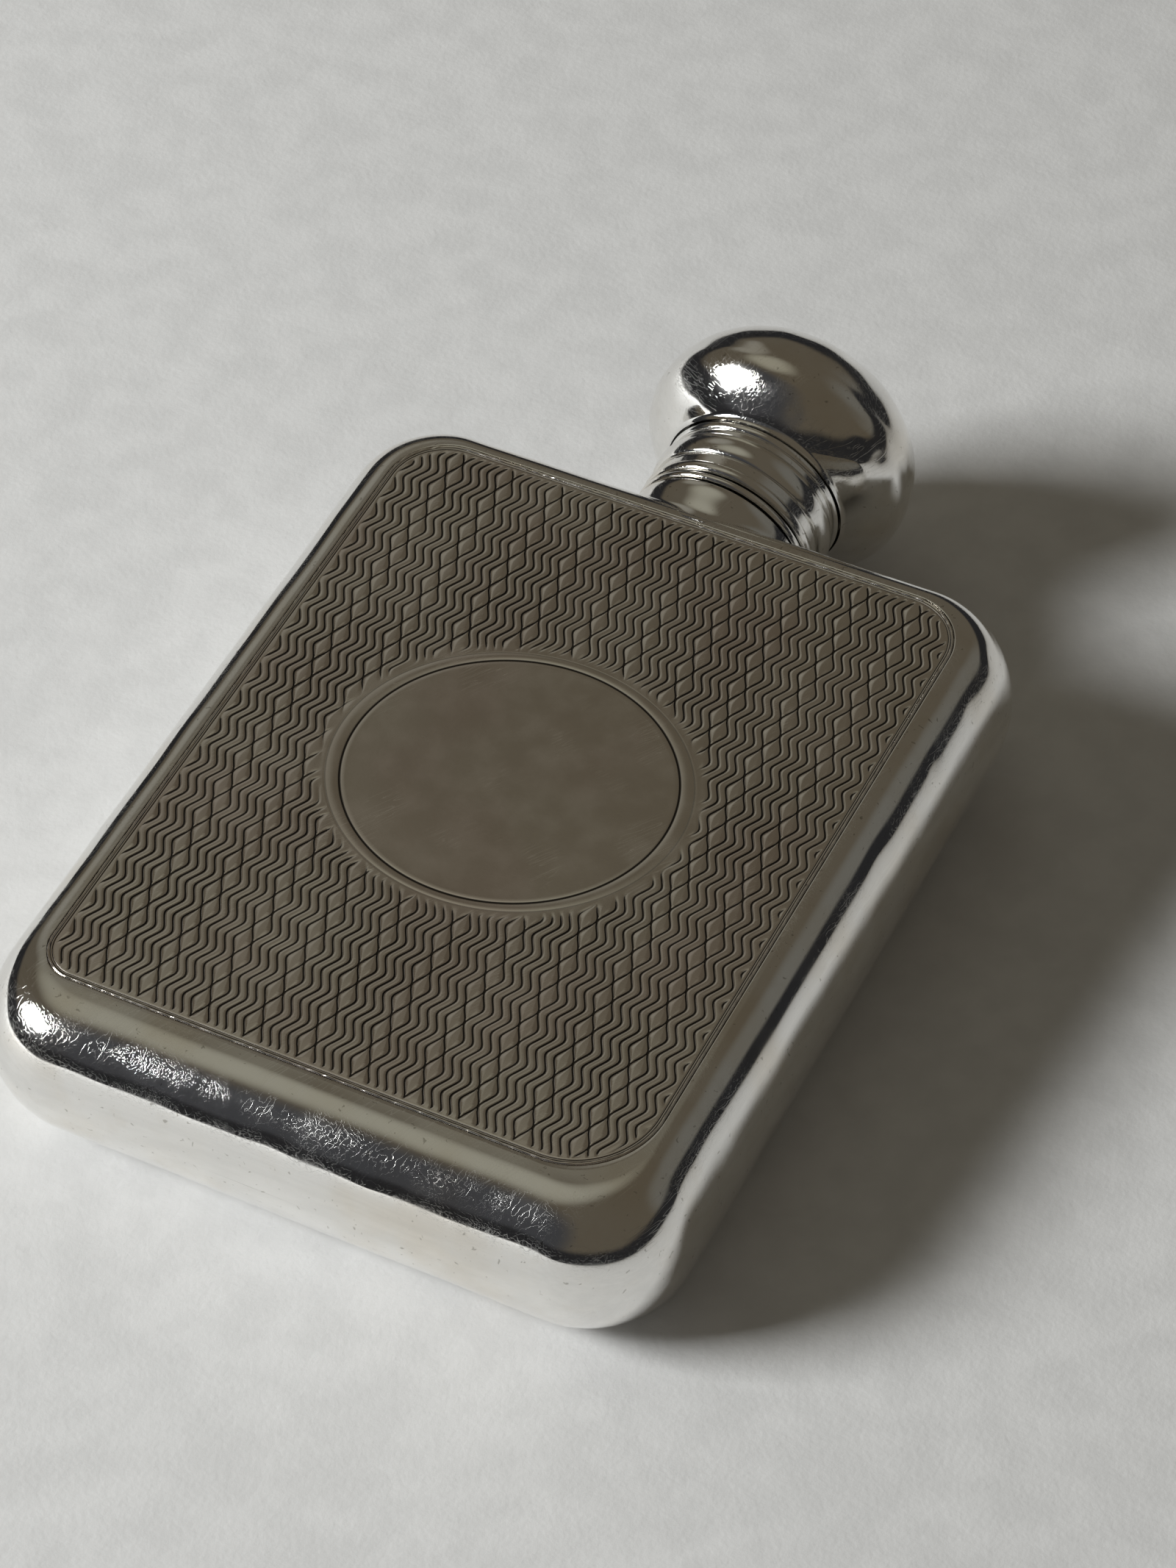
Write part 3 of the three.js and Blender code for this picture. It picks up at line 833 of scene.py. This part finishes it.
WIDEST = CAP_RIM + 1.6  # the ball is rounder than the CAD solid, and widest above its joint
DOME_SQUARENESS = 2.2  # 2 makes the dome's section a plain oval
SHOULDER_SLOPE = math.radians(38)  # the ball turns in fast at its widest and slower below that
BOWL_SLOPE = math.radians(60)
COVE_RADIUS = 0.7
COVE_SLOPE = math.radians(12)
BOWL_FOOT = (8.6, UNDERSIDE_LOW - 0.62)  # radius and height where the cove meets the top bead
BEND_STEPS = 16

# Knocks in the ball: place, radius and depth.
CAP_DENTS = (
    ((3.75, 48.2, 10.1), 0.7, 0.05),
    ((4.8, 56.6, 9.3), 1.3, 0.13),
    ((10.5, 50.6, 5.5), 0.9, 0.08),
    ((9.2, 49.5, 7.0), 0.8, 0.07),
    ((9.0, 52.0, 8.0), 2.2, 0.10),
    ((-6.0, 57.5, 8.0), 2.4, 0.08),
    ((-8.5, 50.0, 9.0), 1.8, 0.07),
)


def cap_wear(points, normals):
    """The ball's ripple and dents, none where it meets the skirt and none at its widest."""
    y = points[:, 1]
    ripple = rippled(points + 90, 6.0, 0.15) + rippled(points + 60, 2.6, 0.065)
    ripple *= eased(y, BOWL_FOOT[1], BOWL_FOOT[1] + 1.2)
    wear = (ripple - dented(points, CAP_DENTS)) * eased(np.abs(y - WIDEST), 0, 1.3)
    return points + normals * wear[:, None]


def worn_cap_piece(node, loops, outer_count):
    """A ring of loops whose first outer_count loops, the outside, are worn."""
    points, faces = loft(loops, tube=True)
    normals = outward(points, faces)
    outer = outer_count * SEGMENTS
    points[:outer] = cap_wear(points[:outer], normals[:outer])
    return finished(node, points, faces, "polished_silver")


def cap_dome():
    """The ball's upper stamping, a slightly square oval in section."""
    power = 2 / DOME_SQUARENESS
    low = WIDEST + HALF_HAIRLINE

    def curve(radius, high, steps):
        """Loops from the widest place to the top, closest together at the widest place."""
        loops = []
        for angle in np.pi / 2 * np.linspace(0, 1, steps)[:-1] ** 1.4:
            rise = (high - low) * math.sin(angle) ** power
            loops.append(circle(radius * math.cos(angle) ** power, low + rise))
        return [*loops, circle(0.02, high)]

    outside = curve(CAP_RADIUS, CAP_TOP, 48)
    inside = curve(CAP_RADIUS - WALL, CAP_TOP - WALL, 16)[::-1]
    return worn_cap_piece("cap_dome", [*outside, *inside], len(outside))


def cap_underside():
    """The ball's lower stamping, a bowl turned in from the rim, with a small cove at the skirt."""
    hub = BUSH_RADIUS + GAP
    high = WIDEST - HALF_HAIRLINE
    foot_radius, foot = BOWL_FOOT

    def bend(start, end):
        """The way in and the way down of a bend one millimetre long, from one slope to another."""
        turn = end - start
        return (math.cos(start) - math.cos(end)) / turn, (math.sin(end) - math.sin(start)) / turn

    cove_length = COVE_RADIUS * (BOWL_SLOPE - COVE_SLOPE)
    upper = bend(0, SHOULDER_SLOPE)
    lower = bend(SHOULDER_SLOPE, BOWL_SLOPE)
    cove = np.array(bend(COVE_SLOPE, BOWL_SLOPE)) * cove_length
    to_span = np.array([CAP_RADIUS - foot_radius, high - foot]) - cove
    upper_length, lower_length = np.linalg.solve(np.array([upper, lower]).T, to_span)
    section = [(foot_radius, foot)]
    for start, end, length in (
        (COVE_SLOPE, BOWL_SLOPE, cove_length),
        (BOWL_SLOPE, SHOULDER_SLOPE, lower_length),
        (SHOULDER_SLOPE, 0, upper_length),
    ):
        step = length / BEND_STEPS
        for share in (np.arange(BEND_STEPS) + 0.5) / BEND_STEPS:
            slope = start + (end - start) * share
            radius, y = section[-1]
            section.append((radius + step * math.sin(slope), y + step * math.cos(slope)))
    inner = CAP_RADIUS - WALL
    floor = UNDERSIDE_LOW + WALL
    inside = [
        (inner, high), (inner - 0.4, high - 2), (hub + 0.6, floor),
        (hub, floor), (hub, UNDERSIDE_LOW), (SKIRT_GROOVE, UNDERSIDE_LOW),
    ]
    loops = [circle(radius, y) for radius, y in (*section, *inside)]
    return worn_cap_piece("cap_underside", loops, len(section))


def cap_skirt():
    """The reeded skirt: beads round a plain ring."""
    inner = BUSH_RADIUS + GAP
    beads = []
    for y, half, radius in BEADS:
        beads += rounded_band(y - half, y + half, SKIRT_GROOVE, radius, steps=16)
    top = UNDERSIDE_LOW - 0.02
    outside = [(SKIRT_GROOVE, SKIRT_LOW), *beads, (SKIRT_GROOVE, top)]
    outline = [(inner, SKIRT_LOW), *outside, (inner, top)]
    return turned("cap_skirt", outline, "polished_silver")


def threaded_bush():
    """The tube inside the skirt, threaded inside to run between the neck's threads."""
    start = THREAD_START + PITCH / 2
    inside = threaded_wall(BUSH_LOW, BUSH_HIGH, start, BUSH_BORE, BUSH_BORE - THREAD_HEIGHT)[::-1]
    outside = [circle(BUSH_RADIUS, BUSH_LOW), circle(BUSH_RADIUS, BUSH_HIGH)]
    points, faces = loft([*outside, *inside], tube=True)
    return finished("threaded_bush", points, faces, "inner_silver")


def crown_plate():
    return pierced_disc("crown_plate", CROWN_LOW, CROWN_HIGH, BUSH_RADIUS, 0.12, "inner_silver")


def cork_rivet():
    """A rivet through the cork: a domed head below, a shank, and an upset end above the plate."""
    head = 0.4
    top = RIVET_HIGH - head
    shank = [(SHANK_RADIUS, RIVET_LOW + head), (SHANK_RADIUS, top), (RIVET_RADIUS, top)]
    lower, upper = [], []
    for angle in np.linspace(0, np.pi / 2, 8)[1:]:
        lower.append((RIVET_RADIUS * math.sin(angle), RIVET_LOW + head * (1 - math.cos(angle))))
        upper.append((RIVET_RADIUS * math.cos(angle), top + head * math.sin(angle)))
    outline = [*lower, *shank, *upper[:-1]]
    points, faces = loft([circle(radius, y) for radius, y in outline])
    return finished("cork_rivet", points, faces, "inner_silver")


# ---- cork seal ---------------------------------------------------------------------------------


def cork_wad():
    """A cork disc with soft edges, dented in a ring where the mouth presses on it."""
    hole = SHANK_RADIUS + GAP
    edge = 0.35
    pressed = CORK_LOW + 0.12
    rim = CORK_RADIUS - edge
    low_edge, high_edge = [], []
    for angle in np.linspace(0, np.pi / 2, 6):
        low_edge.append((rim + edge * math.sin(angle), CORK_LOW + edge * (1 - math.cos(angle))))
        high_edge.append((rim + edge * math.cos(angle), CORK_HIGH - edge * (1 - math.sin(angle))))
    face = [(hole, CORK_LOW), (2.9, CORK_LOW), (4.6, CORK_LOW), (5.1, pressed), (5.5, pressed)]
    height = CORK_HIGH - CORK_LOW
    side = [(CORK_RADIUS, CORK_LOW + height * share) for share in (0.25, 0.4, 0.55, 0.7)]
    outline = [*face, *low_edge, *side, *high_edge, (hole, CORK_HIGH)]
    points, faces = loft([circle(radius, y) for radius, y in outline], tube=True)
    normals = outward(points, faces)
    pits = np.abs(rippled(points, 0.8, 0.09))
    points = points - normals * pits[:, None]
    return finished("cork_wad", points, faces, "cork")


def cork_washer():
    return pierced_disc("cork_washer", WASHER_LOW, WASHER_HIGH, WASHER_RADIUS, 0.1, "inner_silver")


# ---- the object --------------------------------------------------------------------------------

cutter = neck_cutter()
for node, over in (("front_shell", False), ("back_shell", True)):
    cut_away(half_shell(node, over), cutter)
bpy.data.objects.remove(cutter)
for node, over in (("front_panel", False), ("back_panel", True)):
    engine_turned_plate(node, over)
for make in (
    neck_collar, neck_ring, neck_tube,
    cap_dome, cap_underside, cap_skirt, threaded_bush, crown_plate, cork_rivet,
    cork_wad, cork_washer,
):
    make()

# ---- stage: table, light and camera ------------------------------------------------------------

# The ball cap is wider than the body is thick, so the flask lies on it and on the base's edge.
REST_ON_CAP = np.array([0, CAP_RIM, -CAP_RADIUS])
REST_ON_BASE = np.array([0, -35.0, -HALF_THICKNESS])  # about where the CAD solid's flat back ends
TABLE_SIZE = 4.0  # metres


def pale_paper():
    """Pale matt paper with a soft mottle and a fine tooth."""
    material, tree, shader = new_material("pale_paper")
    mottle = tree.ramp(tree.noise((4, 4, 4), detail=5.0), 0.3, 0.7)
    colour = tree.mix(mottle, (0.79, 0.79, 0.785, 1), (0.73, 0.73, 0.725, 1))
    link(tree, colour, shader, "Base Color")
    shader.inputs["Roughness"].default_value = 0.8
    bump(tree, shader, tree.noise((0.6, 0.6, 0.6), detail=5.0), 0.7, 0.05)
    return material


def table():
    along = Vector(REST_ON_BASE - REST_ON_CAP).normalized()
    across = Vector((1, 0, 0))
    middle = Vector(to_row(REST_ON_CAP))
    half = TABLE_SIZE / 2
    corners = [
        tuple(middle + across * (half * x) + along * (half * y))
        for x, y in ((-1, 1), (1, 1), (1, -1), (-1, -1))
    ]
    mesh = bpy.data.meshes.new("table")
    mesh.from_pydata(corners, [], [[0, 1, 2, 3]])
    mesh.materials.append(pale_paper())
    floor = bpy.data.objects.new("table", mesh)
    bpy.context.scene.collection.objects.link(floor)


WINDOW_TOWARDS = (-0.72, -0.45, 0.56)
WINDOW_DISTANCE = 1.0  # metres
WINDOW_SIZE = (0.40, 0.24)  # metres
WINDOW_POWER = 11.7
WINDOW_COLOUR = (0.985, 1.0, 1.0)

ROOM_COLOUR = (0.091, 0.078, 0.058, 1)
# Patches of the room: direction, cosines of the angles where it is full and where it ends, colour.
ROOM_PATCHES = (
    ((-0.45, -0.75, 0.48), 0.93, 0.72, (0.045, 0.046, 0.050, 1)),  # dark, past the base, on the left
    ((-0.34, 0.16, 0.93), 1.0, 0.90, (0.28, 0.27, 0.22, 1)),  # pale, overhead
    ((-0.58, 0.56, 0.60), 1.0, 0.962, (0.22, 0.21, 0.18, 1)),  # pale, past the neck, on the left
    ((0.75, 0.55, 0.42), 0.98, 0.80, (0.125, 0.12, 0.105, 1)),  # paler, past the neck, on the right
)
DARK_BELOW = (0.36, 0.24)  # the sines of the elevations where the dark begins and where it is full
DARK_COLOUR = (0.018, 0.018, 0.019, 1)


def window_light():
    lamp = bpy.data.lights.new("window", "AREA")
    lamp.shape = "RECTANGLE"
    lamp.size, lamp.size_y = WINDOW_SIZE
    lamp.energy = WINDOW_POWER
    lamp.color = WINDOW_COLOUR
    light = bpy.data.objects.new("window", lamp)
    towards = Vector(WINDOW_TOWARDS).normalized()
    light.location = Vector(ORIGIN) + towards * WINDOW_DISTANCE
    light.rotation_mode = "QUATERNION"
    light.rotation_quaternion = towards.to_track_quat("Z", "Y")
    bpy.context.scene.collection.objects.link(light)


def room():
    """A dim warm room for the silver to reflect, dark low down all round."""
    world = bpy.data.worlds.new("room")
    bpy.context.scene.world = world
    world.use_nodes = True
    world.node_tree.nodes.clear()
    tree = Tree(world.node_tree)
    where = tree.add("TexCoord").outputs["Generated"]

    def towards(direction, near, far):
        """1 within a cone round a direction, going down to 0 at a wider one."""
        unit = Vector(direction).normalized()
        facing = tree.add("VectorMath", {0: where, 1: unit}, operation="DOT_PRODUCT")
        return tree.ramp(facing.outputs["Value"], far, near)

    colour = ROOM_COLOUR
    for direction, near, far, tint in ROOM_PATCHES:
        colour = tree.mix(towards(direction, near, far), colour, tint)
    height = tree.add("SeparateXYZ", {"Vector": where}).outputs["Z"]
    colour = tree.mix(tree.ramp(height, *DARK_BELOW), colour, DARK_COLOUR)
    background = tree.add("Background", {"Color": colour, "Strength": 1.0})
    output = tree.add("OutputWorld")
    world.node_tree.links.new(background.outputs[0], output.inputs["Surface"])


CAMERA_TARGET = (5.6, 4.66, HALF_THICKNESS)  # a place on the plate
CAMERA_DISTANCE = 415.4
CAMERA_AZIMUTH = 31.43
CAMERA_ELEVATION = 49.39
CAMERA_ROLL = 5.46
LENS = 114.95


def camera():
    azimuth = math.radians(CAMERA_AZIMUTH)
    elevation = math.radians(CAMERA_ELEVATION)
    level = math.cos(elevation)
    back = Vector((math.sin(azimuth) * level, -math.cos(azimuth) * level, math.sin(elevation)))
    level_right = Vector((math.cos(azimuth), math.sin(azimuth), 0))
    right = Matrix.Rotation(-math.radians(CAMERA_ROLL), 3, back) @ level_right
    up = back.cross(right)
    data = bpy.data.cameras.new("camera")
    data.lens = LENS
    data.clip_start = 0.01
    shot = bpy.data.objects.new("camera", data)
    axes = Matrix((right, up, back)).transposed().to_4x4()
    place = Vector(to_row(CAMERA_TARGET)) + back * CAMERA_DISTANCE * MM
    shot.matrix_world = Matrix.Translation(place) @ axes
    bpy.context.scene.collection.objects.link(shot)
    bpy.context.scene.camera = shot


table()
room()
window_light()
camera()
bpy.context.scene.view_settings.view_transform = "Standard"
